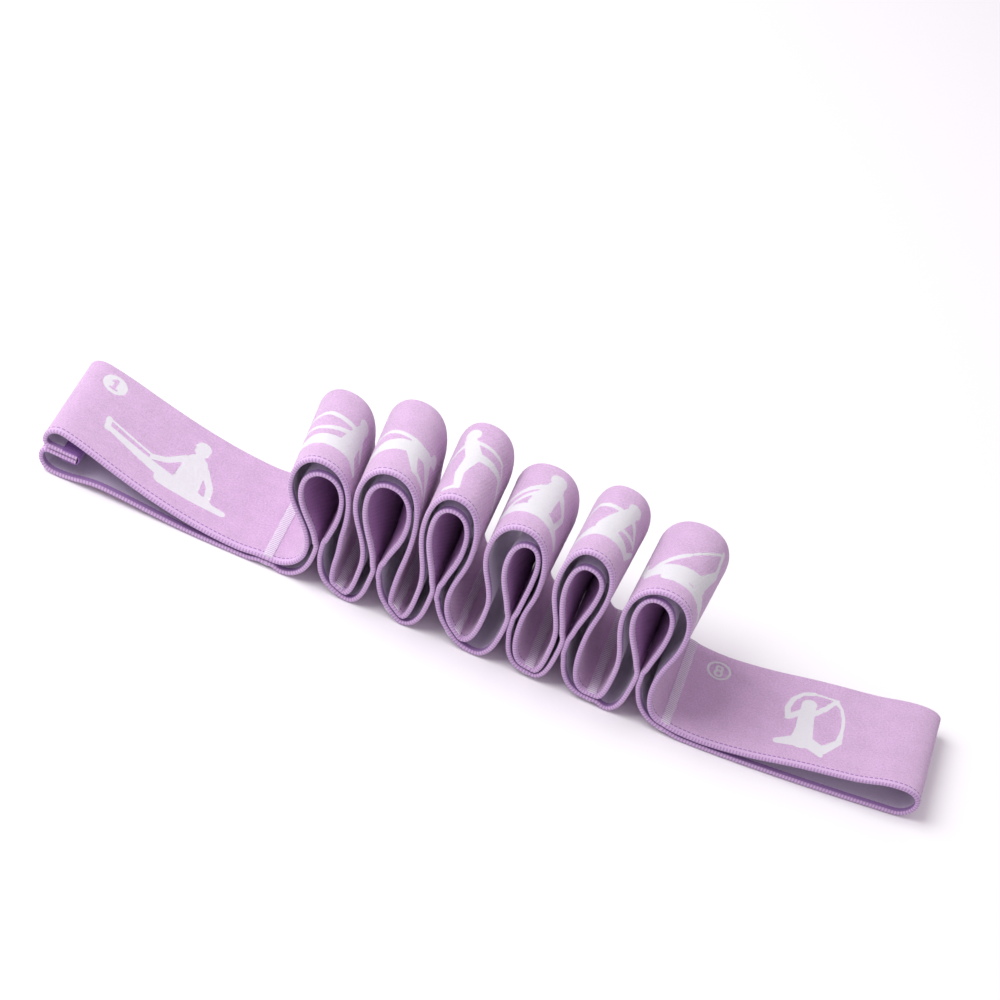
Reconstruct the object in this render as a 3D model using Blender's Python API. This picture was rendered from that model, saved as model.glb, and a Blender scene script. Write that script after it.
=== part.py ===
"""Loop stretching strap: one 40 mm elastic tape, sewn end to end and cross-stitched into eight loops.

The strap stands as it is set down, gathered like an accordion: loops 1 and 8 lie along the surface and
loops 2 to 7 stand up as six folds. Every loop has a face layer outside and a back layer inside.
Lengths are in millimetres and are turned into metres when a mesh is made.
X runs along the strap, Y across its width, away from the user, and Z up.
"""
import bpy
from math import cos, hypot, radians, sin

for leftover in list(bpy.data.objects):
    bpy.data.objects.remove(leftover)

MM = 0.001
WIDTH = 40.0  # of the tape
TAPE = 1.5  # its thickness
GAP = 0.3  # between neighbouring solids
HALF = TAPE / 2
PITCH = TAPE + 0.36  # from the back layer's middle to the face layer's, where a seam pinches them

# The seven cross seams. Each is a short straight stretch of both layers.
SEAM_X = [-66.0, -43.5, -25.5, -5.5, 20.2, 41.2, 64.8]
SEAM_Z = [1.75, 2.2, 3.7, 4.3, 1.9, 1.75, 2.0]  # of the middle of the back layer
SEAM_SLOPE = [0, -25, -40, -42, -8, 0, -12]  # heading of both layers there, in degrees
SEAM_REACH = 1.6  # of the straight stretch, each way
BAR_HALF = 1.5  # half the width of the bar of stitches
THREAD = 0.4  # how thick the stitches lie on the tape
WEB = 0.6  # the row of stitches that goes through both layers
STITCHED_HALF = 17.5  # half the bar's length, across the tape
SLOT_DEPTH = 1.2  # a slot's reach above and below the middle of a layer

FOLD_Z = 15.0  # height of the fold lines at the foot of each leg
LEFT_END = -143.0
RIGHT_END = 146.6
LOOP_FOLD = 2.6  # from an end seam to the line on which its loop lifts

TAB_X = -131.0  # where the doubled closing tab ends
TAB_Z = 9.4  # its middle
TAB_TURN = 2.4  # height of the turn from the tab into a layer
WRAP = 3.0  # how far the overlock thread reaches over the tab's end

RIGHT, UP, DOWN, LEFT = 0, 90, -90, 180  # headings

# Each fold, from its left seam to its right one: the foot's turn, the left bulge, the crest, the right
# bulge and the neck on the right.
FACE_FOLDS = [
    [(-55.6, 12.8), (-66.5, 38.8), (-59.1, 49.3), (-46.6, 26.0), (-46.0, 15.0)],
    [(-38.2, 15.5), (-46.3, 43.6), (-38.0, 55.9), (-26.1, 30.0), (-26.6, 16.0)],
    [(-19.2, 15.6), (-24.7, 44.0), (-17.8, 56.5), (-8.1, 36.7), (-10.1, 18.9)],
    [(2.0, 18.8), (-4.2, 43.3), (3.9, 55.6), (14.2, 34.5), (13.0, 21.3)],
    [(24.3, 16.6), (18.3, 42.8), (25.1, 57.4), (34.2, 42.5), (32.7, 23.6)],
    [(45.0, 16.0), (40.3, 40.6), (50.1, 53.8), (60.2, 38.8), (57.3, 17.7)],
]
BACK_FOLDS = [
    [(-53.0, 12.9), (-62.8, 37.4), (-57.0, 44.7), (-49.3, 31.4), (-50.9, 15.5)],
    [(-34.4, 12.6), (-43.1, 43.3), (-37.6, 50.7), (-28.9, 36.5), (-32.1, 17.3)],
    [(-15.3, 12.8), (-22.3, 43.6), (-17.6, 51.3), (-10.9, 37.8), (-13.3, 18.6)],
    [(8.8, 15.2), (2.3, 41.5), (7.0, 50.3), (11.6, 39.2), (10.9, 19.0)],
    [(26.6, 14.6), (21.3, 42.1), (25.7, 51.3), (31.4, 44.0), (28.6, 19.6)],
    [(51.2, 14.6), (43.4, 41.6), (48.3, 49.9), (55.1, 38.3), (53.2, 17.6)],
]
# The lowest point of each layer, right of the fold's left seam, where it dips before it rises.
FACE_DIPS = [None, (-40.2, 2.9), (-21.3, 2.95), (-1.6, 3.95), None, None]
BACK_DIPS = [(-61.0, HALF), (-38.9, HALF), (-20.8, HALF), (3.0, HALF), None, (46.4, HALF)]

# The far edge of the strap sits lower than the near edge: the share of its height it loses, for each
# millimetre of height. At their far edge the folds also lean along X, widen and sink further.
FAR_DROP = {"left": 0.0078, "fold": 0.0012, "right": 0.0129, "seam": 0.0}
LEANS = [-3.6, -2.2, 0.0, 1.2, 2.7, 3.5]
SPREADS = [-0.04, -0.03, 0.05, 0.085, 0.06, 0.05]
SINKS = [2.2, 0.4, -1.3, 3.5, 1.5, 0.4]
LEAN_RISE = 20.0  # height over the fold lines at which they have all their lean
LEFT_SWING = 0.0026  # how fast each flat loop swings away from the straight line
RIGHT_SWING = 0.0108

SHIFT_X = -(LEFT_END + RIGHT_END) / 2  # puts the origin under the middle of the strap
SHIFT_Y = -RIGHT_SWING * (RIGHT_END - SEAM_X[-1] - LOOP_FOLD) ** 1.5 / 2

STEPS = 6  # stations on each stretch of a layer

MATERIALS = {
    "tape_face": ((0.69, 0.50, 0.73), 0.85),
    "tape_back": ((0.55, 0.42, 0.62), 0.88),
    "seam_thread": ((0.86, 0.85, 0.88), 0.7),
    "edge_thread": ((0.33, 0.19, 0.44), 0.75),
}


def handles(start, end):
    """How far a stretch's two inner control points lie along its headings."""
    (x0, z0, h0), (x3, z3, h3) = start, end
    c0, s0, c3, s3 = cos(radians(h0)), sin(radians(h0)), cos(radians(h3)), sin(radians(h3))
    cross = c0 * s3 - s0 * c3
    if abs(cross) > 0.05:
        to_corner = ((x3 - x0) * s3 - (z3 - z0) * c3) / cross
        from_corner = ((x3 - x0) * -s0 + (z3 - z0) * c0) / cross
        if to_corner > 0 and from_corner > 0:
            short, long = sorted((to_corner, from_corner))
            ratio = short / long
            shares = {short: 0.9 - 0.34 * ratio, long: 0.5 + 0.06 * ratio}
            return to_corner * shares[to_corner], from_corner * shares[from_corner]
    return (0.42 * abs((x3 - x0) * c0 + (z3 - z0) * s0), 0.42 * abs((x3 - x0) * c3 + (z3 - z0) * s3))


def curve(knots):
    """Points of a smooth line through knots (x, z, heading)."""
    points = [knots[0][:2]]
    for start, end in zip(knots, knots[1:]):
        (x0, z0, h0), (x3, z3, h3) = start, end
        reach0, reach3 = handles(start, end)
        x1, z1 = x0 + reach0 * cos(radians(h0)), z0 + reach0 * sin(radians(h0))
        x2, z2 = x3 - reach3 * cos(radians(h3)), z3 - reach3 * sin(radians(h3))
        for step in range(1, STEPS + 1):
            t = step / STEPS
            s = 1 - t
            weights = (s**3, 3 * s * s * t, 3 * s * t * t, t**3)
            points.append((sum(w * x for w, x in zip(weights, (x0, x1, x2, x3))),
                           sum(w * z for w, z in zip(weights, (z0, z1, z2, z3)))))
    return points


def at_seam(seam, along, above):
    """The point at a distance along a seam's heading and above the middle of its back layer."""
    c, s = cos(radians(SEAM_SLOPE[seam])), sin(radians(SEAM_SLOPE[seam]))
    return (SEAM_X[seam] + along * c - above * s, SEAM_Z[seam] + along * s + above * c)


def fold_curve(fold, points, rise, dip):
    """One layer of a fold, from seam to seam. rise is the layer's height over a seam's back layer."""
    foot, left, crest, right, neck = points
    knots = [(*at_seam(fold, 0, rise), SEAM_SLOPE[fold])]
    knots.append((*at_seam(fold, SEAM_REACH, rise), SEAM_SLOPE[fold]))
    if dip:
        knots.append((*dip, RIGHT))
    knots += [(*foot, UP), (*left, UP), (*crest, RIGHT), (*right, DOWN), (*neck, DOWN)]
    knots.append((*at_seam(fold + 1, -SEAM_REACH, rise), SEAM_SLOPE[fold + 1]))
    knots.append((*at_seam(fold + 1, 0, rise), SEAM_SLOPE[fold + 1]))
    return curve(knots)


def until(points, passed):
    """The start of a line, up to where the signed value passed(x, z) first turns positive."""
    kept = []
    for point in points:
        value = passed(*point)
        if kept and value > 0:
            before = passed(*kept[-1])
            share = before / (before - value)
            kept.append(tuple(a + share * (b - a) for a, b in zip(kept[-1], point)))
            return kept
        kept.append(point)
    return kept


def beyond(points, passed):
    """The end of a line, from where the signed value passed(x, z) last turns positive."""
    return until(points[::-1], lambda x, z: -passed(x, z))[::-1]


def offset(points, distance):
    """The line moved to its left by a distance."""
    moved = []
    for i, (x, z) in enumerate(points):
        (x0, z0), (x1, z1) = points[max(i - 1, 0)], points[min(i + 1, len(points) - 1)]
        length = hypot(x1 - x0, z1 - z0)
        moved.append((x - distance * (z1 - z0) / length, z + distance * (x1 - x0) / length))
    return moved


def place(x, z, across, zone, fold=None):
    """A point of the strap in metres. across runs from 0 at the near edge to 1 at the far edge."""
    y = (across - 0.5) * WIDTH
    if zone == "left":
        y += LEFT_SWING * max(SEAM_X[0] - LOOP_FOLD - x, 0) ** 1.5
    if zone == "right":
        y += RIGHT_SWING * max(x - SEAM_X[-1] - LOOP_FOLD, 0) ** 1.5
    rise = min(max((z - FOLD_Z) / LEAN_RISE, 0), 1)
    share = across * rise * rise * (3 - 2 * rise)
    z *= 1 - FAR_DROP[zone] * across * max(z, 0)
    if fold is not None:
        x += share * (LEANS[fold] + SPREADS[fold] * (x - feet[fold][0]))
        z -= share * SINKS[fold]
    return ((x + SHIFT_X) * MM, (y + SHIFT_Y) * MM, z * MM)


def axis_point(x, z):
    """A point in metres on the axis, along Y, through (x, z)."""
    return ((x + SHIFT_X) * MM, SHIFT_Y * MM, z * MM)


def material(name):
    if name in bpy.data.materials:
        return bpy.data.materials[name]
    made = bpy.data.materials.new(name)
    made.use_nodes = True
    shader = made.node_tree.nodes["Principled BSDF"]
    colour, roughness = MATERIALS[name]
    shader.inputs["Base Color"].default_value = (*colour, 1)
    shader.inputs["Roughness"].default_value = roughness
    shader.inputs["Metallic"].default_value = 0
    return made


def add_solid(name, points, faces, finish, pivot):
    """One closed solid, from points in the world, with its object's origin on its joint's axis."""
    mesh = bpy.data.meshes.new(name)
    mesh.from_pydata([tuple(c - p for c, p in zip(point, pivot)) for point in points], [], faces)
    made = bpy.data.objects.new(name, mesh)
    made.location = pivot
    mesh.materials.append(material(finish))
    bpy.context.scene.collection.objects.link(made)
    mesh.shade_smooth()
    mesh.set_sharp_from_angle(angle=radians(40))
    return made


def tape_panel(name, line, finish, pivot, zone, fold=None):
    """A stretch of tape, its middle on line."""
    points, faces = [], []
    for (ux, uz), (lx, lz) in zip(offset(line, HALF), offset(line, -HALF)):
        points.append(place(ux, uz, 0, zone, fold))
        points.append(place(ux, uz, 1, zone, fold))
        points.append(place(lx, lz, 1, zone, fold))
        points.append(place(lx, lz, 0, zone, fold))
    for station in range(0, len(points) - 4, 4):
        for side in range(4):
            turn = (side + 1) % 4
            faces.append((station + side, station + 4 + side, station + 4 + turn, station + turn))
    last = len(points) - 4
    faces.append((0, 1, 2, 3))
    faces.append((last + 3, last + 2, last + 1, last))
    return add_solid(name, points, faces, finish, pivot)


def prism(name, outline, reach, finish, pivot, zone="seam"):
    """A solid with the anticlockwise outline of (x, z) points, reaching equally far to both edges."""
    count = len(outline)
    near, far = 0.5 - reach / WIDTH, 0.5 + reach / WIDTH
    points = [place(x, z, near, zone) for x, z in outline]
    points += [place(x, z, far, zone) for x, z in outline]
    faces = [tuple(range(count)), tuple(range(2 * count - 1, count - 1, -1))]
    for i in range(count):
        turn = (i + 1) % count
        faces.append((i, i + count, turn + count, turn))
    return add_solid(name, points, faces, finish, pivot)


def cut_slot(panel, seam, rise, pivot):
    """Opens a layer where the seam's stitches go through it."""
    half = WEB / 2 + GAP
    corners = [(-half, -SLOT_DEPTH), (half, -SLOT_DEPTH), (half, SLOT_DEPTH), (-half, SLOT_DEPTH)]
    outline = [at_seam(seam, along, rise + above) for along, above in corners]
    cutter = prism("slot_cutter_" + panel.name, outline, STITCHED_HALF + GAP, "seam_thread", pivot)
    cutter.hide_render = True
    cutter.display_type = "WIRE"
    slot = panel.modifiers.new("stitch_slot", "BOOLEAN")
    slot.operation = "DIFFERENCE"
    slot.solver = "EXACT"
    slot.object = cutter


def seam_stitching(seam, pivot):
    """A cross seam: a bar of stitches on the face, one under the back, and the row that joins them."""
    web = WEB / 2
    low = -HALF - GAP
    high = PITCH + HALF + GAP
    outline = [(-BAR_HALF, low - THREAD), (BAR_HALF, low - THREAD), (BAR_HALF, low), (web, low),
               (web, high), (BAR_HALF, high), (BAR_HALF, high + THREAD), (-BAR_HALF, high + THREAD),
               (-BAR_HALF, high), (-web, high), (-web, low), (-BAR_HALF, low)]
    outline = [at_seam(seam, along, above) for along, above in outline]
    prism(f"seam_{seam + 1}_stitching", outline, STITCHED_HALF, "seam_thread", pivot)


def closing_overlock(pivot):
    """The overlock thread that wraps the free end of the doubled closing tab."""
    inner = PITCH / 2 + HALF + GAP
    outer = inner + THREAD
    back, front = TAB_X - WRAP, TAB_X + GAP
    outline = [(back, -outer), (front + THREAD, -outer), (front + THREAD, outer), (back, outer),
               (back, inner), (front, inner), (front, -inner), (back, -inner)]
    outline = [(x, TAB_Z + above) for x, above in outline]
    prism("closing_seam_overlock", outline, WIDTH / 2, "edge_thread", pivot, "left")


# The lines of both layers. Those of loop 8 are one, because its end is a plain fold of the tape.
face_folds = [fold_curve(i, p, PITCH, FACE_DIPS[i]) for i, p in enumerate(FACE_FOLDS)]
back_folds = [fold_curve(i, p, 0.0, BACK_DIPS[i]) for i, p in enumerate(BACK_FOLDS)]
loop_1_face = curve([
    (TAB_X, TAB_Z + PITCH / 2, LEFT), (LEFT_END + 3.0, TAB_Z + PITCH / 2, LEFT),
    (LEFT_END + HALF, TAB_Z + PITCH / 2 + TAB_TURN, UP), (-138.0, 17.2, RIGHT), (-121.9, 12.4, -20),
    (-107.0, 7.7, -15), (-92.0, 4.4, -9), (-76.0, 2.9, RIGHT),
    (*at_seam(0, -SEAM_REACH, PITCH), SEAM_SLOPE[0]), (*at_seam(0, 0, PITCH), SEAM_SLOPE[0]),
])
loop_1_back = curve([
    (TAB_X, TAB_Z - PITCH / 2, LEFT), (LEFT_END + 3.0, TAB_Z - PITCH / 2, LEFT),
    (LEFT_END + HALF, TAB_Z - PITCH / 2 - TAB_TURN, DOWN), (-136.5, HALF, RIGHT), (-121.0, 2.9, RIGHT),
    (-100.0, 1.4, -5), (-88.0, HALF, RIGHT), (-73.0, HALF, RIGHT),
    (*at_seam(0, -SEAM_REACH, 0), SEAM_SLOPE[0]), (*at_seam(0, 0, 0), SEAM_SLOPE[0]),
])
loop_8 = curve([
    (*at_seam(6, 0, PITCH), SEAM_SLOPE[6]), (*at_seam(6, SEAM_REACH, PITCH), SEAM_SLOPE[6]),
    (76.0, 2.8, RIGHT), (92.6, 4.4, 9), (106.0, 6.9, 9), (124.0, 9.1, 7), (138.5, 11.8, RIGHT),
    (RIGHT_END - HALF, 6.6, DOWN), (140.0, HALF, LEFT), (90.0, HALF, LEFT), (72.0, HALF, LEFT),
    (*at_seam(6, SEAM_REACH, 0), SEAM_SLOPE[6] + LEFT), (*at_seam(6, 0, 0), SEAM_SLOPE[6] + LEFT),
])

# The fold lines, as (x, z): the lines on which loops 1 and 8 lift, those at the feet of the folds, and
# those over their crests, midway between the feet's.
left_lift = (SEAM_X[0] - LOOP_FOLD, SEAM_Z[0] + PITCH + HALF + GAP)
right_lift = (SEAM_X[6] + LOOP_FOLD, SEAM_Z[6] + PITCH + HALF + GAP)
feet = [((points[0][0] + points[4][0]) / 2, FOLD_Z) for points in BACK_FOLDS]
crests = []
for line, (x, z) in zip(face_folds, feet):
    over = [p for p in offset(line, HALF) if p[1] > 2 * FOLD_Z and abs(p[0] - x) < 4]
    crests.append((x, until(over, lambda px, pz: px - x)[-1][1] + GAP))

MIDDLE_SEAM = 3  # the fold lines are hung outwards from this seam
seam_axes = [feet[s] if s < MIDDLE_SEAM else feet[s - 1] for s in range(7)]


def high_side(middle, gap):
    """A signed value that turns positive where the top of a fold passes its middle."""
    return lambda x, z: x - middle - gap if z > 2 * FOLD_Z else -1.0


def build_layer(layer, folds, rise, loop_1_line, loop_8_line):
    finish = "tape_" + layer
    heads, tails = [], []
    for i, line in enumerate(folds):
        middle = feet[i][0]
        top = max(range(len(line)), key=lambda k: line[k][1])
        rising, falling = line[:top + 1], line[top:]
        heads.append(until(rising, lambda x, z: z - FOLD_Z + GAP / 2))
        tails.append(beyond(falling, lambda x, z: FOLD_Z - GAP / 2 - z))
        legs = beyond(rising, lambda x, z: z - FOLD_Z - GAP / 2)
        legs += until(falling, lambda x, z: FOLD_Z + GAP / 2 - z)[1:]
        left_leg = until(legs, high_side(middle, -GAP / 2))
        right_leg = until(legs[::-1], lambda x, z: middle + GAP / 2 - x if z > 2 * FOLD_Z else -1.0)[::-1]
        outward = i >= MIDDLE_SEAM
        left_axis, right_axis = (feet[i], crests[i]) if outward else (crests[i], feet[i])
        tape_panel(f"loop_{i + 2}_{layer}_left", left_leg, finish, axis_point(*left_axis), "fold", i)
        tape_panel(f"loop_{i + 2}_{layer}_right", right_leg, finish, axis_point(*right_axis), "fold", i)
    for seam in range(7):
        before = tails[seam - 1] if seam else beyond(loop_1_line, lambda x, z: x - left_lift[0])
        after = heads[seam] if seam < 6 else until(loop_8_line, lambda x, z: x - right_lift[0])
        pivot = axis_point(*seam_axes[seam])
        panel = tape_panel(f"seam_{seam + 1}_{layer}_fold", before + after[1:], finish, pivot, "fold")
        cut_slot(panel, seam, rise, pivot)
    open_end = until(loop_1_line, lambda x, z: x - left_lift[0] + GAP)
    tape_panel(f"loop_1_{layer}", open_end, finish, axis_point(*left_lift), "left")


build_layer("face", face_folds, PITCH, loop_1_face, loop_8)
build_layer("back", back_folds, 0.0, loop_1_back, loop_8[::-1])
for seam in range(7):
    seam_stitching(seam, axis_point(*seam_axes[seam]))
closing_overlock(axis_point(*left_lift))


def past_last_seam(x, z):
    return x - right_lift[0] - GAP


def before_last_seam(x, z):
    return -past_last_seam(x, z)


loop_8_open = beyond(loop_8[:len(loop_8) // 2], past_last_seam) + loop_8[len(loop_8) // 2:]
loop_8_open = until(loop_8_open, before_last_seam)
tape_panel("loop_8_tape", loop_8_open, "tape_face", axis_point(*right_lift), "right")
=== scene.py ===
"""The stretching strap as it looks: woven, ribbed at its edges and cross-stitched, on a pale surface.

Lengths are in millimetres in the strap's own frame and are turned into metres when a mesh is made.
u runs along a layer of tape, v across it from the near edge, and h out of its left-hand side.
"""
from math import cos, pi, radians, sin

import bpy
import numpy as np
from mathutils import Matrix, Vector


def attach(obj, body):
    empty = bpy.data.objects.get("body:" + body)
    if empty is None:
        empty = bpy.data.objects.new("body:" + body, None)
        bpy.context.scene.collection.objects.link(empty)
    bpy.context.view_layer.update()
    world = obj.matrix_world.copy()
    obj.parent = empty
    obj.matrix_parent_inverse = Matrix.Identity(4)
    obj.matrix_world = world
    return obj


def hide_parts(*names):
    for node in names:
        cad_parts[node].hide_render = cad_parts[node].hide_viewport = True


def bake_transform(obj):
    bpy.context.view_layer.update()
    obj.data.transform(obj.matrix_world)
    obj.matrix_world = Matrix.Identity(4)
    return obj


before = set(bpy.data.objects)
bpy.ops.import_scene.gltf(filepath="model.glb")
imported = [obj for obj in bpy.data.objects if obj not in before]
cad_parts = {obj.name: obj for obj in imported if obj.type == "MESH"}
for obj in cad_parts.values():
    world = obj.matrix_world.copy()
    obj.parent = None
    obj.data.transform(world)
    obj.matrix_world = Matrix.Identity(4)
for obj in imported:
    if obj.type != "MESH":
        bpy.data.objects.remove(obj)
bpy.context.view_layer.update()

MM = 0.001
WIDTH = 40.0
TAPE = 1.5
HALF = TAPE / 2
PITCH = TAPE + 0.36  # from the middle of the back layer to the middle of the face

SEAM_X = [-66.0, -43.5, -25.5, -5.5, 20.2, 41.2, 64.8]
SEAM_Z = [1.75, 2.2, 3.7, 4.3, 1.9, 1.75, 2.0]
SEAM_SLOPE = [0, -25, -40, -42, -8, 0, -12]
SEAM_REACH = 1.6
FOLD_Z = 15.0
LEFT_END = -143.0
RIGHT_END = 146.6
LOOP_FOLD = 2.6
TAB_X = -131.0
TAB_Z = 9.4
TAB_TURN = 2.4
RIGHT, UP, DOWN, LEFT = 0, 90, -90, 180
FACE_FOLDS = [
    [(-55.6, 12.8), (-66.5, 38.8), (-59.1, 49.3), (-46.6, 26.0), (-46.0, 15.0)],
    [(-38.2, 15.5), (-46.3, 43.6), (-38.0, 55.9), (-26.1, 30.0), (-26.6, 16.0)],
    [(-19.2, 15.6), (-24.7, 44.0), (-17.8, 56.5), (-8.1, 36.7), (-10.1, 18.9)],
    [(2.0, 18.8), (-4.2, 43.3), (3.9, 55.6), (14.2, 34.5), (13.0, 21.3)],
    [(24.3, 16.6), (18.3, 42.8), (25.1, 57.4), (34.2, 42.5), (32.7, 23.6)],
    [(45.0, 16.0), (40.3, 40.6), (50.1, 53.8), (60.2, 38.8), (57.3, 17.7)],
]
BACK_FOLDS = [
    [(-53.0, 12.9), (-62.8, 37.4), (-57.0, 44.7), (-49.3, 31.4), (-50.9, 15.5)],
    [(-34.4, 12.6), (-43.1, 43.3), (-37.6, 50.7), (-28.9, 36.5), (-32.1, 17.3)],
    [(-15.3, 12.8), (-22.3, 43.6), (-17.6, 51.3), (-10.9, 37.8), (-13.3, 18.6)],
    [(8.8, 15.2), (2.3, 41.5), (7.0, 50.3), (11.6, 39.2), (10.9, 19.0)],
    [(26.6, 14.6), (21.3, 42.1), (25.7, 51.3), (31.4, 44.0), (28.6, 19.6)],
    [(51.2, 14.6), (43.4, 41.6), (48.3, 49.9), (55.1, 38.3), (53.2, 17.6)],
]
FACE_DIPS = [None, (-40.2, 2.9), (-21.3, 2.95), (-1.6, 3.95), None, None]
BACK_DIPS = [(-61.0, HALF), (-38.9, HALF), (-20.8, HALF), (3.0, HALF), None, (46.4, HALF)]
FAR_DROP = 0.0012  # share of the height that the far edge of a fold loses, per millimetre of height
LEFT_DROP = 0.0078  # of loop 1
RIGHT_DROP = 0.0129  # of loop 8
# At the far edge the folds also lean along X, widen and sink further.
LEANS = [-3.6, -2.2, 0.0, 1.2, 2.7, 3.5]
SPREADS = [-0.04, -0.03, 0.05, 0.085, 0.06, 0.05]
SINKS = [2.2, 0.4, -1.3, 3.5, 1.5, 0.4]
LEAN_RISE = 20.0  # height over the fold lines at which the folds have all their lean
END_EASE = 12.0  # length of loops 1 and 8 over which their own drop sets in
MIDDLES = [(points[0][0] + points[4][0]) / 2 for points in BACK_FOLDS]
PINCH = 0.93  # how far the inner layer of a fold closes towards its far edge
NECK_GAP = 0.05  # half the gap between the legs of the inner layer where they touch
NECK_Z = 18.0  # height of the neck, where the legs of a fold come nearest to each other
NECK_OFF = 1.8  # legs nearer than this to the fold's middle touch at the neck, all the way across
LEFT_SWING = 0.0026
RIGHT_SWING = 0.0108
SHIFT_X = -(LEFT_END + RIGHT_END) / 2
SHIFT_Y = -RIGHT_SWING * (RIGHT_END - SEAM_X[-1] - LOOP_FOLD) ** 1.5 / 2

CELL = 0.5  # length of a woven cell, and the distance between stations
BODY = 0.66  # half the tape's thickness between its edges
SELVAGE = 0.70  # half its thickness at the edges
EDGE = 0.5  # how far the edge's rounding reaches in
RIB = 0.08  # height of the selvage's cross ribs
DASH = 0.10  # height of the edge stitches
FUZZ = 0.055  # unevenness of the woven surface
GROOVE = 0.02  # depth between two ribs, and rise of the tape between two stitches
RIBS_TO = 1.5  # the ribs reach this far in from the near edge, and the edge stitches start there
STITCHES_TO = 2.0
FUZZ_FROM = 2.9


# ---------------------------------------------------------------- lines

def handles(start, end):
    """Lengths of the two Bezier handles of a smooth line from start to end, each (x, z, heading)."""
    (x0, z0, h0), (x3, z3, h3) = start, end
    c0, s0, c3, s3 = cos(radians(h0)), sin(radians(h0)), cos(radians(h3)), sin(radians(h3))
    cross = c0 * s3 - s0 * c3
    if abs(cross) > 0.05:
        to_corner = ((x3 - x0) * s3 - (z3 - z0) * c3) / cross
        from_corner = ((x3 - x0) * -s0 + (z3 - z0) * c0) / cross
        if to_corner > 0 and from_corner > 0:
            short, long = sorted((to_corner, from_corner))
            ratio = short / long
            shares = {short: 0.9 - 0.34 * ratio, long: 0.5 + 0.06 * ratio}
            return to_corner * shares[to_corner], from_corner * shares[from_corner]
    return (0.42 * abs((x3 - x0) * c0 + (z3 - z0) * s0), 0.42 * abs((x3 - x0) * c3 + (z3 - z0) * s3))


def curve(knots):
    """Points of a smooth line through knots (x, z, heading), as an array of stations CELL apart."""
    points = [knots[0][:2]]
    for start, end in zip(knots, knots[1:]):
        (x0, z0, h0), (x3, z3, h3) = start, end
        reach0, reach3 = handles(start, end)
        x1, z1 = x0 + reach0 * cos(radians(h0)), z0 + reach0 * sin(radians(h0))
        x2, z2 = x3 - reach3 * cos(radians(h3)), z3 - reach3 * sin(radians(h3))
        for step in range(1, 61):
            t = step / 60
            s = 1 - t
            w = (s**3, 3 * s * s * t, 3 * s * t * t, t**3)
            points.append((w[0] * x0 + w[1] * x1 + w[2] * x2 + w[3] * x3,
                           w[0] * z0 + w[1] * z1 + w[2] * z2 + w[3] * z3))
    points = np.array(points)
    along = np.concatenate([[0], np.cumsum(np.hypot(*np.diff(points, axis=0).T))])
    stations = np.linspace(0, along[-1], round(along[-1] / CELL) + 1)
    return np.stack([np.interp(stations, along, points[:, 0]), np.interp(stations, along, points[:, 1])], 1)


def at_seam(seam, along, above):
    """The point this far along a seam's slope and above it."""
    c, s = cos(radians(SEAM_SLOPE[seam])), sin(radians(SEAM_SLOPE[seam]))
    return (SEAM_X[seam] + along * c - above * s, SEAM_Z[seam] + along * s + above * c)


def fold_line(fold, points, rise, dip):
    """The middle line of a layer of tape from one seam, up over the fold, to the next seam."""
    foot, left, crest, right, neck = points
    knots = [(*at_seam(fold, 0, rise), SEAM_SLOPE[fold])]
    knots.append((*at_seam(fold, SEAM_REACH, rise), SEAM_SLOPE[fold]))
    if dip:
        knots.append((*dip, RIGHT))
    knots += [(*foot, UP), (*left, UP), (*crest, RIGHT), (*right, DOWN), (*neck, DOWN)]
    knots.append((*at_seam(fold + 1, -SEAM_REACH, rise), SEAM_SLOPE[fold + 1]))
    knots.append((*at_seam(fold + 1, 0, rise), SEAM_SLOPE[fold + 1]))
    return curve(knots)


def normals(line):
    """Unit vectors to the left of a line, at each of its stations."""
    ahead = np.gradient(line, axis=0)
    ahead /= np.hypot(ahead[:, 0], ahead[:, 1])[:, None]
    return np.stack([-ahead[:, 1], ahead[:, 0]], 1)


def smooth(t):
    """Eases from 0 to 1 as t goes from 0 to 1."""
    t = np.clip(t, 0, 1)
    return t * t * (3 - 2 * t)


def place(x, z, v, fold=None):
    """Points in metres, from arrays of x, z and v."""
    across = v / WIDTH
    y = v - WIDTH / 2
    share = across * smooth((z - FOLD_Z) / LEAN_RISE)
    beyond_left = SEAM_X[0] - LOOP_FOLD - x
    beyond_right = x - SEAM_X[-1] - LOOP_FOLD
    drop = FAR_DROP
    if fold is None:
        y = y + LEFT_SWING * np.maximum(beyond_left, 0) ** 1.5
        y = y + RIGHT_SWING * np.maximum(beyond_right, 0) ** 1.5
        drop = FAR_DROP + (LEFT_DROP - FAR_DROP) * smooth(beyond_left / END_EASE)
        drop = drop + (RIGHT_DROP - FAR_DROP) * smooth(beyond_right / END_EASE)
    z = z * (1 - drop * across * np.maximum(z, 0))
    if fold is not None:
        x = x + share * (LEANS[fold] + SPREADS[fold] * (x - MIDDLES[fold]))
        z = z - share * SINKS[fold]
    return np.stack([(x + SHIFT_X) * MM, (y + SHIFT_Y) * MM, z * MM], -1)


# ---------------------------------------------------------------- figures

def capsule(u, v, a, b, r0, r1=None):
    """Distance outside a limb from a to b whose half-width goes from r0 to r1."""
    r1 = r0 if r1 is None else r1
    du, dv = b[0] - a[0], b[1] - a[1]
    t = np.clip(((u - a[0]) * du + (v - a[1]) * dv) / max(du * du + dv * dv, 1e-9), 0, 1)
    return np.hypot(u - a[0] - t * du, v - a[1] - t * dv) - (r0 + (r1 - r0) * t)


def drawn(u, v, limbs):
    """Distance outside a figure made of limbs."""
    return np.minimum.reduce([capsule(u, v, *limb) for limb in limbs])


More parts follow.
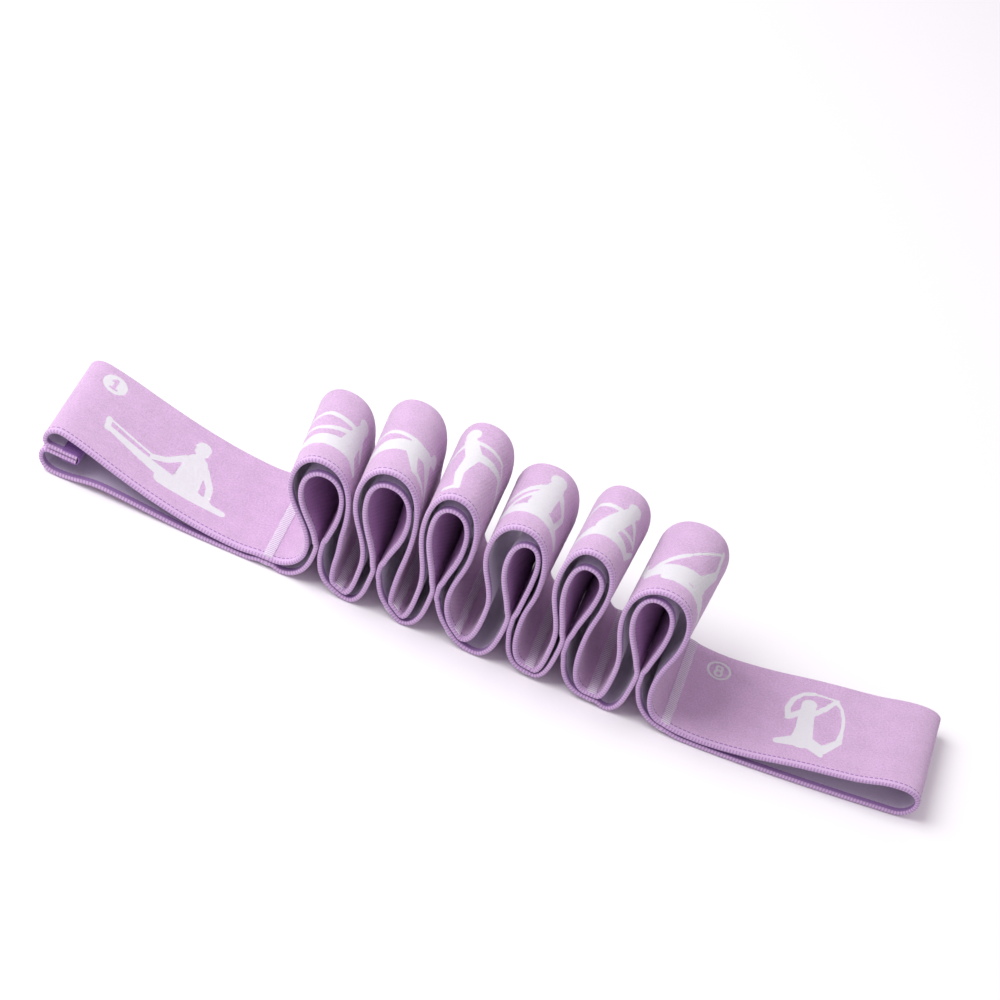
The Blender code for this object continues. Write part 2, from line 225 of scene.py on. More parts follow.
def numeral(u, v, centre, digit, disc):
    """Distance outside a numeral in a disc (cut out of it) or in a ring."""
    du, dv = u - centre[0], v - centre[1]
    radius = np.hypot(du, dv)
    strokes = {
        1: [((0, -2.0), (0, 2.1), 0.6), ((-1.1, 1.2), (0, 2.1), 0.5), ((-1.1, -2.0), (1.1, -2.0), 0.45)],
        8: [((0, 1.1), (0, 1.1), 1.4), ((0, -1.1), (0, -1.1), 1.6)],
    }[digit]
    glyph = drawn(du, dv, strokes)
    if digit == 8:
        glyph = np.maximum(glyph, 0.6 - np.hypot(du, dv - 1.1))
        glyph = np.maximum(glyph, 0.7 - np.hypot(du, dv + 1.1))
    if disc:
        return np.maximum(radius - 4.1, -glyph)
    return np.minimum(glyph, np.abs(radius - 3.6) - 0.4)


# Limbs as (from, to, half-width, half-width at the end), in (u, v).
SEATED_REACH = [
    ((-1, 28.6), (-1, 30.2), 2.5, 2.6), ((-0.6, 24), (-0.8, 28), 1.3), ((-0.6, 12), (-0.6, 23), 4.6, 3.6),
    ((-4, 22.5), (-9, 17), 1.3, 1.1), ((-9, 17), (-13, 14.6), 1.1), ((2.6, 22), (6.6, 16), 1.5, 1.2),
    ((6.6, 16), (7.6, 10), 1.2, 1.0), ((-3, 10), (-29, 13.6), 2.4, 1.0), ((-29, 13), (-29.8, 17), 1.0),
    ((-13, 15), (-28.6, 17), 0.45), ((-8, 8.6), (13.5, 8.8), 2.3, 1.2), ((-1, 10), (8, 9.4), 3.2, 1.6),
]
BOW_PULL = [
    ((5, 27), (5, 28), 2.5, 2.6), ((4.8, 24.5), (5.6, 17), 2.6, 2.9), ((5.6, 17), (5.6, 12), 2.9, 3.7),
    ((3, 24), (-0.6, 21), 1.3, 1.1), ((-0.6, 21), (-1.6, 25), 1.0), ((-1.6, 25), (-0.6, 29.4), 1.0, 0.9),
    ((-0.6, 29.4), (2, 32.4), 0.9, 0.8), ((2, 32.4), (5.6, 33.6), 0.8),
    ((6.6, 24), (10.4, 28), 1.1), ((10.4, 28), (13.4, 32.6), 0.9), ((5.6, 11.6), (-2, 9.6), 2.7, 1.2),
    ((6, 12), (13, 9.4), 2.9, 1.6), ((13, 9.4), (17.4, 14.6), 1.7, 1.2),
    ((17.4, 14.6), (17.6, 18.6), 1.1, 0.8),
    ((13.4, 32.6), (15.6, 29.6), 0.6), ((15.6, 29.6), (17, 25.6), 0.6), ((17, 25.6), (17.6, 21.4), 0.6),
    ((17.6, 21.4), (17.5, 18.6), 0.6), ((5.6, 33.6), (13.4, 33), 0.4),
    ((8, 10), (13, 7), 1.1, 0.8),
]
FIGURES = {
    2: [((9, 29), (9, 30), 2.6, 2.7), ((8.2, 25.5), (5.5, 14), 2.5, 3.6), ((6, 24), (-3, 26), 1.2, 1.0),
        ((-3, 26), (-17, 23.5), 0.8), ((5, 20.5), (-3, 18), 1.2, 0.9), ((-3, 18), (-17, 19.5), 0.8),
        ((5.5, 12.5), (-8, 11.5), 3.3, 2.3), ((-8, 11.5), (-20, 13), 1.9, 1.2),
        ((5.5, 13), (11, 8), 2.5, 1.3), ((9, 24), (12.4, 16), 1.3, 0.9), ((-17, 23.5), (-20, 14), 0.5)],
    3: [((-10, 13.4), (8, 17.4), 2.4, 3.2), ((8, 17.4), (13, 9.6), 2.6, 1.5),
        ((13, 9.6), (17, 5.4), 1.4, 0.9), ((2, 15), (5, 7), 2.1, 1.2), ((5, 7), (13, 5.8), 1.1, 0.8),
        ((-10, 13.4), (-18, 8.6), 1.8, 0.9),
        ((12.5, 21.6), (12.8, 22.4), 2.4), ((9, 18.4), (12, 20.6), 1.5), ((6, 19), (-6, 22), 1.0, 0.8),
        ((-6, 22), (-15, 20.6), 0.7)],
    4: [((-4, 32.6), (-4, 33.4), 2.3, 2.4), ((-4, 29.8), (-1, 22), 1.9, 2.4), ((-1, 22), (-3, 13), 2.1, 1.3),
        ((-3, 13), (-2, 5.6), 1.3, 0.9), ((-2, 5.6), (-6, 5), 0.8), ((-1, 22), (10, 23), 2.0, 1.2),
        ((10, 23), (16.4, 15), 1.2, 0.8), ((-3, 29), (8, 28), 0.9, 0.7), ((8, 28), (14.4, 22), 0.5),
        ((-4, 28), (-11, 22), 0.9, 0.7)],
    5: [((3, 32), (3, 33), 2.5, 2.6), ((3, 29), (1, 16.4), 2.4, 3.6), ((1, 27), (-7, 21), 1.2, 1.0),
        ((-7, 21), (-15, 17), 0.9), ((5, 27), (10, 20), 1.3, 1.0), ((10, 20), (8, 12), 1.0),
        ((1, 12.4), (-14, 12), 3.0, 1.3), ((1, 12.4), (13.6, 8.4), 3.0, 1.3), ((-15, 18), (-19.4, 13), 0.5),
        ((0, 23), (-9, 14), 0.9, 0.7)],
    6: [((5, 30), (5, 31), 2.4, 2.5), ((4.2, 27.4), (0, 16.4), 2.3, 3.3), ((3, 26), (-6, 29), 1.1, 0.9),
        ((-6, 29), (-11, 25), 0.9), ((0, 13.6), (-11, 11), 2.9, 1.3), ((0, 13.6), (10, 12), 2.9, 1.5),
        ((10, 12), (14.4, 19), 1.3, 0.9), ((-11, 25), (-14.4, 12), 0.5), ((6, 25.6), (12, 20), 1.1, 0.8),
        ((12, 20), (3, 18), 0.8)],
    7: [((-9, 12), (7, 13.6), 2.6, 3.3), ((7, 13.6), (12, 26), 2.6, 1.4), ((12, 26), (10, 35), 1.2, 0.8),
        ((-9, 12), (-13, 15), 1.4), ((-13.4, 16.4), (-13.8, 17.4), 2.2), ((7, 11.6), (16.6, 7), 2.4, 1.1),
        ((-8, 14), (0, 22), 1.0, 0.8), ((0, 22), (9.6, 34), 0.5), ((-3, 9), (12, 7.6), 1.6, 1.0)],
}
WHITE_FROM, WHITE_TO = 3.0, WIDTH - 2.0  # the figures keep clear of the edges


def figure(loop):
    """The motif of a standing loop: distances outside its figure, u being measured from the crest."""
    def motif(u, v, x):
        return drawn(u, v, FIGURES[loop])
    return motif


def motif_loop_1(u, v, x):
    return np.minimum(drawn(x + 98.4, v - 1.0, SEATED_REACH), numeral(x, v, (-132.2, 32.5), 1, True))


def motif_loop_8(u, v, x):
    return np.minimum(drawn((x - 101.0) / 0.93, v + 0.5, BOW_PULL), numeral(x, v, (75.8, 32.2), 8, False))


# ---------------------------------------------------------------- materials

WARP_PITCH = 0.55
WEFT_PITCH = 0.7
GRAIN_SCALE = 1.5  # of the noises, per millimetre
PATCH_SCALE = 0.16
NAP_SCALE = 3.2
WEAVE_DEPTH = 0.0003  # in metres


def shader(name, colour, rough=0.9, sheen=0.3, weave=0.4, variation=0.06):
    """A woven yarn: two crossing rows of threads, uneven colour and a fine nap."""
    made = bpy.data.materials.new(name)
    made.use_nodes = True
    nodes, links = made.node_tree.nodes, made.node_tree.links
    surface = nodes["Principled BSDF"]
    surface.inputs["Roughness"].default_value = rough
    surface.inputs["Sheen Weight"].default_value = sheen
    surface.inputs["Sheen Roughness"].default_value = 0.45
    surface.inputs["Sheen Tint"].default_value = (1, 1, 1, 1)
    surface.inputs["Specular IOR Level"].default_value = 0.25
    place_at = nodes.new("ShaderNodeUVMap")
    place_at.uv_map = "weave"

    def noise(scale, detail, roughness=0.6):
        node = nodes.new("ShaderNodeTexNoise")
        node.inputs["Scale"].default_value = scale
        node.inputs["Detail"].default_value = detail
        node.inputs["Roughness"].default_value = roughness
        links.new(place_at.outputs["UV"], node.inputs["Vector"])
        return node.outputs["Fac"]

    def math(operation, first, second):
        node = nodes.new("ShaderNodeMath")
        node.operation = operation
        for socket, value in zip(node.inputs, (first, second)):
            if isinstance(value, (int, float)):
                socket.default_value = value
            else:
                links.new(value, socket)
        return node.outputs[0]

    split = nodes.new("ShaderNodeSeparateXYZ")
    links.new(place_at.outputs["UV"], split.inputs[0])
    warp = math("SINE", math("MULTIPLY", split.outputs["X"], 2 * pi / WARP_PITCH), 0)
    weft = math("SINE", math("MULTIPLY", split.outputs["Y"], 2 * pi / WEFT_PITCH), 0)
    threads = math("MULTIPLY", warp, weft)
    grain = noise(GRAIN_SCALE, 4, 0.75)
    patches = noise(PATCH_SCALE, 2)
    ramp = nodes.new("ShaderNodeMixRGB")
    ramp.inputs["Color1"].default_value = (*[c * (1 - variation) for c in colour], 1)
    ramp.inputs["Color2"].default_value = (*[min(1.0, c * (1 + variation)) for c in colour], 1)
    tone = math("ADD", math("MULTIPLY", grain, 0.9), math("MULTIPLY", patches, 0.2))
    tone = math("ADD", tone, math("MULTIPLY", threads, 0.10))
    spread = nodes.new("ShaderNodeMapRange")
    spread.inputs["From Min"].default_value = 0.35
    spread.inputs["From Max"].default_value = 0.75
    links.new(tone, spread.inputs["Value"])
    links.new(spread.outputs["Result"], ramp.inputs["Fac"])
    links.new(ramp.outputs["Color"], surface.inputs["Base Color"])
    bump = nodes.new("ShaderNodeBump")
    bump.inputs["Strength"].default_value = weave
    bump.inputs["Distance"].default_value = WEAVE_DEPTH
    height = math("ADD", math("MULTIPLY", threads, 0.35), noise(NAP_SCALE, 2))
    links.new(height, bump.inputs["Height"])
    links.new(bump.outputs["Normal"], surface.inputs["Normal"])
    return made


FACE_YARN = shader("face_yarn", (0.68, 0.452, 0.70), sheen=0.42, weave=0.9, variation=0.22)
# The back layer's outer side, inside the folds, is the face's own lavender yarn painted darker and more
# saturated: painted shade.
PAINTED_SHADE_BACK_FACE = shader("painted_shade_back_face", (0.49, 0.24, 0.54), sheen=0.2, weave=0.75, variation=0.17)
MOTIF_YARN = shader("motif_yarn", (0.69, 0.685, 0.715), sheen=0.3, variation=0.05)
LINING_YARN = shader("lining_yarn", (0.63, 0.555, 0.69), sheen=0.3, variation=0.10)
SELVAGE_YARN = shader("selvage_yarn", (0.62, 0.43, 0.66), sheen=0.35)
RIM_YARN = shader("rim_yarn", (0.43, 0.27, 0.51), sheen=0.2)
GROOVE_YARN = shader("groove_yarn", (0.33, 0.19, 0.43), sheen=0.2)
EDGE_YARN = shader("edge_yarn", (0.25, 0.12, 0.36), sheen=0.15)
SEAM_YARN = shader("seam_yarn", (0.76, 0.70, 0.79), rough=0.7, sheen=0.3, variation=0.06)
# A darker copy of the seam yarn: painted shade for the grooves between the bar's threads.
PAINTED_SHADE_SEAM_GROOVE = shader("painted_shade_seam_groove", (0.53, 0.42, 0.57), sheen=0.2)


# ---------------------------------------------------------------- meshes

EDGE_V = [0.5, 0.9, 1.3, 1.6, 1.98, 2.4]  # the knitted selvage is only at the near edge
FAR_V = [WIDTH - 1.6, WIDTH - 1.1, WIDTH - 0.6]
FINE = EDGE_V + list(np.arange(3.0, 38.01, CELL)) + FAR_V
COARSE = EDGE_V + list(np.arange(4.0, 38.01, 2.0)) + FAR_V
DASH_COLUMN = 3  # the cells from EDGE_V[3] to EDGE_V[4] hold the edge stitches
EDGE_ANGLES = [60, 30, 0, -30, -60]
SNAP = 0.34  # points this near to a figure's outline are moved onto it


def half_thickness(v):
    """Half the tape's thickness, a little more at both edges."""
    inward = np.minimum(v, WIDTH - v)
    return SELVAGE + (BODY - SELVAGE) * smooth((inward - 1.6) / 1.4)


def ring(top, bottom):
    """The tape's outline across: arrays of v and h, and of the outward direction there."""
    v, h, out_v, out_h = [], [], [], []
    for t in top:
        v.append(t), h.append(half_thickness(t)), out_v.append(0), out_h.append(1)
    for a in EDGE_ANGLES:
        v.append(WIDTH - EDGE + EDGE * cos(radians(a)))
        h.append(SELVAGE * sin(radians(a)))
        out_v.append(cos(radians(a))), out_h.append(sin(radians(a)))
    for t in bottom[::-1]:
        v.append(t), h.append(-half_thickness(t)), out_v.append(0), out_h.append(-1)
    for a in EDGE_ANGLES[::-1]:
        v.append(EDGE - EDGE * cos(radians(a)))
        h.append(SELVAGE * sin(radians(a)))
        out_v.append(-cos(radians(a))), out_h.append(sin(radians(a)))
    return map(np.array, (v, h, out_v, out_h))


def snapped(motif, u, v, x):
    """How far each point of the top moves, along u and across, to lie on a near outline of the figure."""
    step = 0.1
    away = motif(u, v, x)
    slope_u = (motif(u + step, v, x + step) - motif(u - step, v, x - step)) / (2 * step)
    slope_v = (motif(u, v + step, x) - motif(u, v - step, x)) / (2 * step)
    steep = np.maximum(slope_u ** 2 + slope_v ** 2, 0.25)
    near = np.abs(away) < SNAP
    return -away * slope_u / steep * near, -away * slope_v / steep * near


def closing(line, v, fold):
    """How far the middle line of a fold's inner layer moves along X, so that its legs meet."""
    crest_x, crest_z = BACK_FOLDS[fold][2]
    height = line[:, 1:]
    centre = np.interp(height, [NECK_Z, crest_z], [MIDDLES[fold], crest_x])
    off = line[:, :1] - centre
    spare = np.maximum(np.abs(off) - half_thickness(v) - NECK_GAP, 0)
    at_neck = smooth((NECK_OFF - np.abs(off)) / 0.6) * smooth((NECK_Z + 6 - height) / 4)
    share = np.maximum(smooth(v / WIDTH * 1.1), at_neck)
    over_foot = smooth((height - FOLD_Z + 5) / 8)
    return -np.sign(off) * spare * PINCH * share * over_foot


def tape_grid(line, top, bottom, seed, fold=None, pinched=False, motif=None, start=0.0):
    """Positions of a whole layer: an array of stations by ring points, in metres."""
    v, h, out_v, out_h = ring(top, bottom)
    count = len(line)
    rng = np.random.default_rng(seed)
    swell = rng.uniform(-FUZZ, FUZZ, (count, len(v))) * ((v > FUZZ_FROM) & (v < WIDTH - EDGE))
    station = np.arange(count)[:, None]
    rib = np.where(station % 2 == 0, RIB, -GROOVE) * (v < RIBS_TO)
    stitch = np.where(station % 3 == 1, DASH, GROOVE) * ((v > RIBS_TO) & (v < STITCHES_TO))
    lift = swell + rib + stitch
    height = h + lift * out_h
    side = v + lift * out_v
    across = normals(line)
    if pinched:
        middle_x = line[:, :1] + closing(line, v, fold)
        ahead_x = np.gradient(middle_x, axis=0)
        ahead_z = np.gradient(line[:, 1:], axis=0)
        pace = np.hypot(ahead_x, ahead_z)
        x = middle_x - ahead_z / pace * height
        z = line[:, 1:] + ahead_x / pace * height
    else:
        x = line[:, :1] + across[:, :1] * height
        z = line[:, 1:] + across[:, 1:] * height
    if motif:
        inner = slice(len(EDGE_V), len(top) - len(FAR_V))
        u = station * CELL - start
        du, dv = snapped(motif, u, v[None, inner], np.broadcast_to(line[:, :1], (count, len(v[inner]))))
        x[:, inner] += du * across[:, 1:]
        z[:, inner] -= du * across[:, :1]
        side[:, inner] += dv
    return place(x, z, side, fold)


def make_mesh(name, points, quads, caps, slots, quad_slots, uv):
    """An object from points, quads with a material slot each, and two end faces."""
    mesh = bpy.data.meshes.new(name)
    points = np.asarray(points, np.float32)
    mesh.vertices.add(len(points))
    mesh.vertices.foreach_set("co", points.ravel())
    loops = np.concatenate([quads.ravel()] + [np.array(cap) for cap in caps]).astype(np.int32)
    sizes = [4] * len(quads) + [len(cap) for cap in caps]
    starts = np.concatenate([[0], np.cumsum(sizes)[:-1]]).astype(np.int32)
    mesh.loops.add(len(loops))
    mesh.loops.foreach_set("vertex_index", loops)
    mesh.polygons.add(len(sizes))
    mesh.polygons.foreach_set("loop_start", starts)
    for material in slots:
        mesh.materials.append(material)
    indices = np.concatenate([quad_slots, np.zeros(len(caps))]).astype(np.int32)
    mesh.polygons.foreach_set("material_index", indices)
    layer = mesh.uv_layers.new(name="weave")
    layer.data.foreach_set("uv", np.asarray(uv, np.float32)[loops].ravel())
    mesh.update(calc_edges=True)
    mesh.validate()
    mesh.shade_smooth()
    mesh.set_sharp_from_angle(angle=radians(65))
    made = bpy.data.objects.new(name, mesh)
    bpy.context.scene.collection.objects.link(made)
    return made


OUT, IN, BAND, STITCH, WHITE, DARK_BAND, RIM = range(7)
FACE_SLOTS = [FACE_YARN, LINING_YARN, SELVAGE_YARN, EDGE_YARN, MOTIF_YARN, GROOVE_YARN, RIM_YARN]
# The back layer's outer side takes the painted-shade copy of the face yarn.
BACK_SLOTS = [PAINTED_SHADE_BACK_FACE] + FACE_SLOTS[1:]


def tape_piece(name, grid, line, first, last, top, bottom, outer_on_top, motif=None, start=0.0,
               yarns=FACE_SLOTS):
    """The stretch of a layer from one station to another, as one closed piece.
    motif(u, v, x) says which cells of the top are woven in white."""
    stations = last - first + 1
    n = grid.shape[1]
    points = grid[first:last + 1].reshape(-1, 3)
    s, i = np.meshgrid(np.arange(stations - 1), np.arange(n), indexing="ij")
    j = (i + 1) % n
    quads = np.stack([s * n + i, (s + 1) * n + i, (s + 1) * n + j, s * n + j], -1).reshape(-1, 4)
    caps = [list(range(n)), list(range(stations * n - 1, (stations - 1) * n - 1, -1))]
    t, b, e = len(top), len(bottom), len(EDGE_ANGLES)
    # Slots of the outer cloth, the inner cloth and their edge bands, for the top and the bottom.
    cloth, band = ((OUT, IN), (BAND, DARK_BAND)) if outer_on_top else ((IN, OUT), (DARK_BAND, BAND))
    # Going round: the top, the far edge, the bottom from far to near, and the near edge.
    column = np.full(n, BAND)
    last_band = t + e + b - DASH_COLUMN - 2
    column[:DASH_COLUMN + 1] = band[0]
    column[DASH_COLUMN + 1:t + e // 2] = cloth[0]
    column[t + e // 2:last_band] = cloth[1]
    column[last_band:t + e + b - 1] = band[1]
    column_slots = np.tile(column, (stations - 1, 1))
    rows = np.arange(first, last)
    column_slots[rows % 2 == 1, t + e + b - 1:] = RIM
    dash = DASH_COLUMN if outer_on_top else last_band
    column_slots[rows % 3 < 2, dash] = STITCH
    if motif is not None:
        mid_v = (np.array(top[:-1]) + np.array(top[1:])) / 2
        mid_x = (line[first:last, :1] + line[first + 1:last + 1, :1]) / 2
        mid_u = ((rows + 0.5) * CELL - start)[:, None]
        white = motif(mid_u, mid_v[None, :], mid_x) < 0
        white &= ((mid_v > WHITE_FROM) & (mid_v < WHITE_TO))[None, :]
        block = column_slots[:, :t - 1]
        block[white] = WHITE
    v = np.array(list(ring(top, bottom))[0])
    around = np.concatenate([[0], np.cumsum(np.abs(np.diff(v)) + 0.05)])
    uv = np.stack(np.meshgrid(np.arange(first, last + 1) * CELL, around, indexing="ij"), -1).reshape(-1, 2)
    return make_mesh(name, points, quads, caps, yarns, column_slots.ravel(), uv)


# ---------------------------------------------------------------- loops 2 to 7

face_lines, back_lines = [], []
for k in range(6):
    loop = k + 2
    for layer, folds, dips in (("face", FACE_FOLDS, FACE_DIPS), ("back", BACK_FOLDS, BACK_DIPS)):
        rise = PITCH if layer == "face" else 0.0
        line = fold_line(k, folds[k], rise, dips[k])
        (face_lines if layer == "face" else back_lines).append(line)
        top, bottom = (FINE, COARSE) if layer == "face" else (COARSE, COARSE)
        crest = int(line[:, 1].argmax())
        motif = figure(loop) if layer == "face" else None
        grid = tape_grid(line, top, bottom, 10 * loop + (layer == "back"), k, layer == "back",
                         motif, crest * CELL)
        (left_x, left_z), (right_x, right_z) = folds[k][1], folds[k][3]
        left = int(np.hypot(line[:crest, 0] - left_x, line[:crest, 1] - left_z).argmin())
        right = crest + int(np.hypot(line[crest:, 0] - right_x, line[crest:, 1] - right_z).argmin())
        end = len(line) - 1
        outer_on_top = layer == "face"
        spans = [("left_side", 0, left), ("top", left, right), ("right_side", right, end)]
        nodes = {
            "left_side": [f"seam_{loop - 1}_{layer}_fold", f"loop_{loop}_{layer}_left"],
            "top": [f"loop_{loop}_{layer}_left", f"loop_{loop}_{layer}_right"],
            "right_side": [f"loop_{loop}_{layer}_right", f"seam_{loop}_{layer}_fold"],
        }
        for part, first, last in spans:
            name = f"loop_{loop}_{layer}_{part}_tape"
            piece = tape_piece(name, grid, line, first, last, top, bottom, outer_on_top, motif, crest * CELL,
                               FACE_SLOTS if outer_on_top else BACK_SLOTS)
            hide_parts(*nodes[part])
            if part == "left_side":
                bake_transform(piece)
            elif part == "top":
                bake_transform(piece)
            else:
                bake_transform(piece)


# ---------------------------------------------------------------- loops 1 and 8

loop_1_face = curve([
    (TAB_X, TAB_Z + PITCH / 2, LEFT), (LEFT_END + 3.0, TAB_Z + PITCH / 2, LEFT),
    (LEFT_END + HALF, TAB_Z + PITCH / 2 + TAB_TURN, UP), (-138.0, 17.2, RIGHT), (-121.9, 12.4, -20),
    (-107.0, 7.7, -15), (-92.0, 4.4, -9), (-76.0, 2.9, RIGHT),
    (*at_seam(0, -SEAM_REACH, PITCH), SEAM_SLOPE[0]), (*at_seam(0, 0, PITCH), SEAM_SLOPE[0]),
])
loop_1_back = curve([
    (TAB_X, TAB_Z - PITCH / 2, LEFT), (LEFT_END + 3.0, TAB_Z - PITCH / 2, LEFT),
    (LEFT_END + HALF, TAB_Z - PITCH / 2 - TAB_TURN, DOWN), (-136.5, HALF, RIGHT), (-121.0, 2.9, RIGHT),
    (-100.0, 1.4, -5), (-88.0, HALF, RIGHT), (-73.0, HALF, RIGHT),
    (*at_seam(0, -SEAM_REACH, 0), SEAM_SLOPE[0]), (*at_seam(0, 0, 0), SEAM_SLOPE[0]),
])
loop_8 = curve([
    (*at_seam(6, 0, PITCH), SEAM_SLOPE[6]), (*at_seam(6, SEAM_REACH, PITCH), SEAM_SLOPE[6]),
    (76.0, 2.8, RIGHT), (92.6, 4.4, 9), (106.0, 6.9, 9), (124.0, 9.1, 7), (138.5, 11.8, RIGHT),
    (RIGHT_END - HALF, 6.6, DOWN), (140.0, HALF, LEFT), (90.0, HALF, LEFT), (72.0, HALF, LEFT),
    (*at_seam(6, SEAM_REACH, 0), SEAM_SLOPE[6] + LEFT), (*at_seam(6, 0, 0), SEAM_SLOPE[6] + LEFT),
])


SHORT_OF_TURN = 8.0  # how far short of the end fold loop 8's figure stops
PAST_TURN = 2.0  # how far past the end fold loop 1's figure starts


def shown_1(u, v, x):
    return np.maximum(motif_loop_1(u, v, x), face_turn * CELL + PAST_TURN - u)


def shown_8(u, v, x):
    return np.maximum(motif_loop_8(u, v, x), u - (turn_8 * CELL - SHORT_OF_TURN))


face_turn = int(loop_1_face[:, 0].argmin())
turn_8 = int(loop_8[:, 0].argmax())
# The face's line turns clockwise at the end fold and the back's anticlockwise.
for layer, line, top, motif in (("face", loop_1_face, FINE, shown_1), ("back", loop_1_back, COARSE, None)):
    grid = tape_grid(line, top, COARSE, 7 if motif else 8, motif=motif)
    name = f"loop_1_{layer}_tape"
    piece = tape_piece(name, grid, line, 0, len(line) - 1, top, COARSE, layer == "face", motif)
    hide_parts(f"loop_1_{layer}", f"seam_1_{layer}_fold")
    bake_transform(piece)

grid = tape_grid(loop_8, FINE, COARSE, 9, motif=shown_8)
piece = tape_piece("loop_8_whole_tape", grid, loop_8, 0, len(loop_8) - 1, FINE, COARSE, True, shown_8)
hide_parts("loop_8_tape", "seam_7_face_fold", "seam_7_back_fold")
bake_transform(piece)


# ---------------------------------------------------------------- seams

BAR = 1.6  # half the width of a bar of stitches
BAR_FROM, BAR_TO = 0.5, WIDTH - 0.5
BAR_SINK = 0.35  # how far its underside is sunk in the tape
BAR_REACH = 8  # stations of tape used on either side of the seam
BAR_RISE = 0.30  # height of its threads
THREAD_PITCH = 0.8


def bar(seam, line_left, line_right, side):
    """A dense row of stitches over a layer: a ridged strip along Y, following the tape's curve."""
    line = np.concatenate([line_left[-BAR_REACH:-1], line_right[:BAR_REACH]])
    across = normals(line)
    along = np.concatenate([[0], np.cumsum(np.hypot(*np.diff(line, axis=0).T))])
    along -= along[BAR_REACH - 1]
    keep = np.abs(along) <= BAR + 0.05
    line, across, along = line[keep], across[keep], along[keep]
    ys = np.arange(BAR_FROM, BAR_TO + 1e-6, THREAD_PITCH / 4)
    ridge = 0.5 + 0.5 * np.cos((ys - BAR_FROM) / THREAD_PITCH * 2 * pi)
    arch = np.sqrt(np.clip(1 - (along / (BAR + 0.25)) ** 2, 0, 1))
    rise = (HALF - 0.06) + (0.10 + BAR_RISE * ridge[None, :]) * arch[:, None]
    rng = np.random.default_rng(40 + seam)
    rise = rise + rng.uniform(-0.02, 0.02, rise.shape)
    under = np.full_like(rise, HALF - BAR_SINK)
    sheets = []
    for height in (rise, under):
        x = line[:, :1] + across[:, :1] * height * side
        z = line[:, 1:] + across[:, 1:] * height * side
        wobble = 0.12 * np.sin(ys * 9.0)[None, :] * (np.abs(along) > BAR - 0.5)[:, None]
        sheets.append(place(x + wobble, z, np.broadcast_to(ys, x.shape)))
    return sheets


def slab(sheets, flip):
    """Points and faces of the closed solid between two equal grids."""
    upper, lower = sheets
    a, b = upper.shape[:2]
    points = np.concatenate([upper.reshape(-1, 3), lower.reshape(-1, 3)])
    index = np.arange(a * b).reshape(a, b)
    cell = np.stack([index[:-1, :-1], index[1:, :-1], index[1:, 1:], index[:-1, 1:]], -1).reshape(-1, 4)
    quads = [cell, cell[:, ::-1] + a * b]
    rim = list(index[:, 0]) + list(index[-1, 1:]) + list(index[-2::-1, -1]) + list(index[0, -2:0:-1])
    rim = np.array(rim)
    after = np.roll(rim, -1)
    quads.append(np.stack([after, rim, rim + a * b, after + a * b], -1))
    quads = np.concatenate(quads)
    if flip:
        quads = quads[:, ::-1]
    return points, quads


for seam in range(7):
    face_left = face_lines[seam - 1] if seam else loop_1_face
    back_left = back_lines[seam - 1] if seam else loop_1_back
    face_right = face_lines[seam] if seam < 6 else loop_8
    back_right = back_lines[seam] if seam < 6 else loop_8[::-1]
    points, quads, shaded_groove_slots, base = [], [], [], 0
    for left, right, side in ((face_left, face_right, 1), (back_left, back_right, -1)):
        sheets = bar(seam, left, right, side)
        p, q = slab(sheets, side < 0)
        rows, columns = sheets[0].shape[0] - 1, sheets[0].shape[1] - 1
        slot = np.zeros(len(q), int)
        # The two middle cells of every four are the groove between two threads, where shade is painted in a
        # darker copy of the seam yarn.
        slot[:rows * columns] = np.tile(np.isin(np.arange(columns) % 4, (1, 2)), rows)
        shaded_groove_slots.append(slot)
        points.append(p)
        quads.append(q + base)
        base += len(p)
    points, quads = np.concatenate(points), np.concatenate(quads)
    uv = points[:, :2] / MM
    slots = np.concatenate(shaded_groove_slots)
    yarns = [SEAM_YARN, PAINTED_SHADE_SEAM_GROOVE]
    piece = make_mesh(f"seam_{seam + 1}_bar", points, quads, [], yarns, slots, uv)
    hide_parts(f"seam_{seam + 1}_stitching")
    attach(piece, f"seam_{seam + 1}")

# The overlock on the closing tab: a ribbed band round its free end.
OVERLOCK_STEP = 0.2
OVERLOCK_PITCH = 1.1
outline = []
inner = PITCH / 2 + HALF - 0.05
for x, z in ((-5.0, -inner), (-0.6, -inner - 0.1), (0.45, -inner + 0.5), (0.75, 0), (0.45, inner - 0.5),
             (-0.6, inner + 0.1), (-5.0, inner)):
    outline.append((TAB_X + x, TAB_Z + z))
outline = np.array(outline)
ys = np.arange(OVERLOCK_STEP, WIDTH - 0.19, OVERLOCK_STEP)
rib = 0.22 + 0.2 * np.abs(np.sin(ys * pi / OVERLOCK_PITCH))
out = -normals(outline)
sheets = []
for height in (np.broadcast_to(rib, (len(outline), len(ys))), np.full((len(outline), len(ys)), -0.05)):
    x = outline[:, :1] + out[:, :1] * height
    z = outline[:, 1:] + out[:, 1:] * height
    sheets.append(place(x, z, np.broadcast_to(ys, x.shape)))
points, quads = slab(sheets, True)
uv = points[:, :2] / MM
piece = make_mesh("closing_overlock", points, quads, [], [EDGE_YARN], np.zeros(len(quads)), uv)
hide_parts("closing_seam_overlock")
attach(piece, "loop_1")


# ---------------------------------------------------------------- set

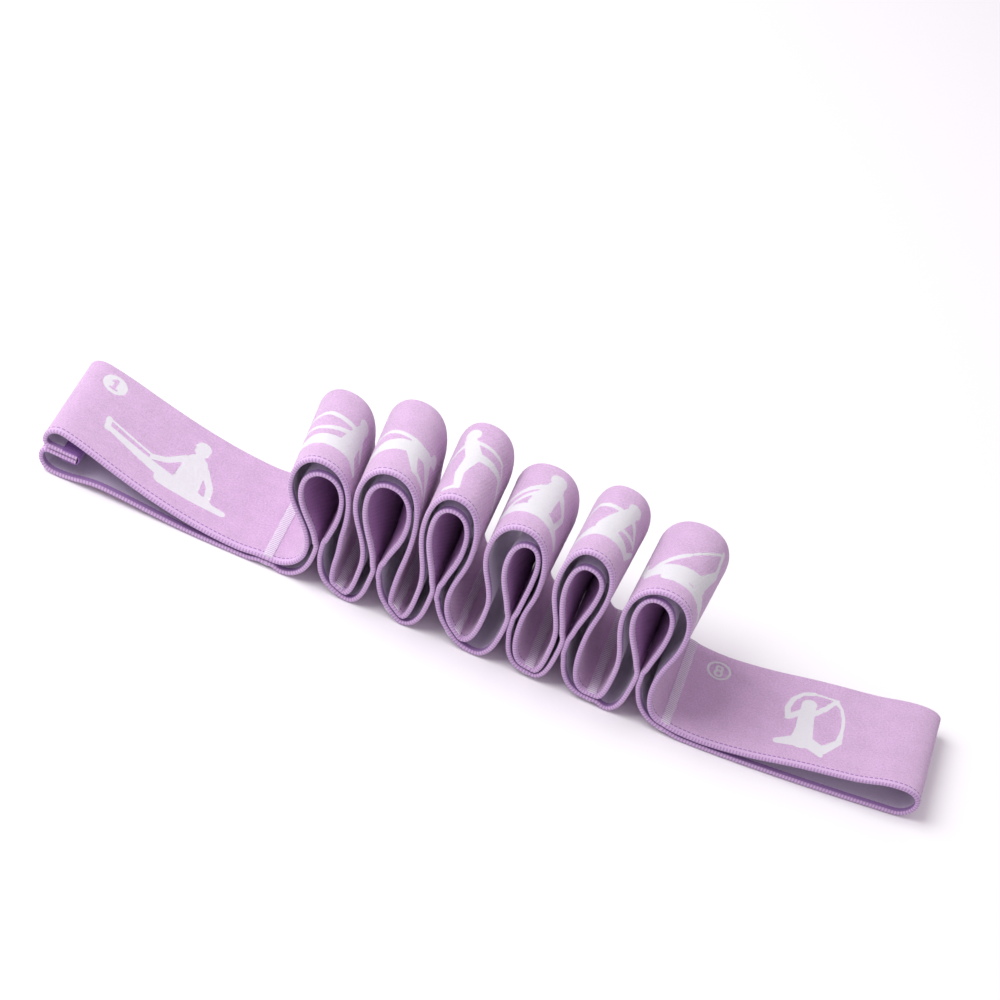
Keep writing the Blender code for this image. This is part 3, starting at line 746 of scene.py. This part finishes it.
floor_mesh = bpy.data.meshes.new("floor")
floor_mesh.from_pydata([(-4, -4, 0), (4, -4, 0), (4, 4, 0), (-4, 4, 0)], [], [(0, 1, 2, 3)])
floor = bpy.data.objects.new("floor", floor_mesh)
floor.location.z = -0.0002
bpy.context.scene.collection.objects.link(floor)
paper = bpy.data.materials.new("paper")
paper.use_nodes = True
paper.node_tree.nodes["Principled BSDF"].inputs["Base Color"].default_value = (0.92, 0.92, 0.925, 1)
paper.node_tree.nodes["Principled BSDF"].inputs["Roughness"].default_value = 0.9
paper.node_tree.nodes["Principled BSDF"].inputs["Specular IOR Level"].default_value = 0.1
floor_mesh.materials.append(paper)


def lamp(name, position, target, size, power, colour):
    data = bpy.data.lights.new(name, "AREA")
    data.shape = "DISK"
    data.size = size
    data.energy = power
    data.color = colour
    made = bpy.data.objects.new(name, data)
    made.location = position
    made.rotation_euler = (Vector(target) - Vector(position)).to_track_quat("-Z", "Y").to_euler()
    bpy.context.scene.collection.objects.link(made)


lamp("key", (-0.62, -0.12, 0.85), (0, 0, 0.02), 0.8, 11.2, (1, 1, 1))
world = bpy.data.worlds.new("studio")
world.use_nodes = True
world.node_tree.nodes["Background"].inputs["Color"].default_value = (1, 0.92, 1, 1)
world.node_tree.nodes["Background"].inputs["Strength"].default_value = 0.6
bpy.context.scene.world = world
bpy.context.scene.view_settings.view_transform = "Standard"

# The camera looks down at the strap from the front and is rolled to one side.
PITCH_DOWN, YAW, ROLL = radians(42), radians(1.9), radians(21.5)
DISTANCE = 983.9
TARGET = Vector((-8.6 + SHIFT_X, 50.12 + SHIFT_Y, 0)) * MM
level = Vector((-sin(YAW), cos(YAW), 0))
right = Vector((cos(YAW), sin(YAW), 0))
ahead = level * cos(PITCH_DOWN) - Vector((0, 0, sin(PITCH_DOWN)))
above = level * sin(PITCH_DOWN) + Vector((0, 0, cos(PITCH_DOWN)))
side = right * cos(ROLL) + above * sin(ROLL)
top = above * cos(ROLL) - right * sin(ROLL)
camera_data = bpy.data.cameras.new("camera")
camera_data.lens = 109.8
camera_data.sensor_width = 36
camera_data.clip_start = 0.01
camera = bpy.data.objects.new("camera", camera_data)
turned = Matrix((side, top, -ahead)).transposed().to_4x4()
camera.matrix_world = Matrix.Translation(TARGET - ahead * DISTANCE * MM) @ turned
bpy.context.scene.collection.objects.link(camera)
bpy.context.scene.camera = camera
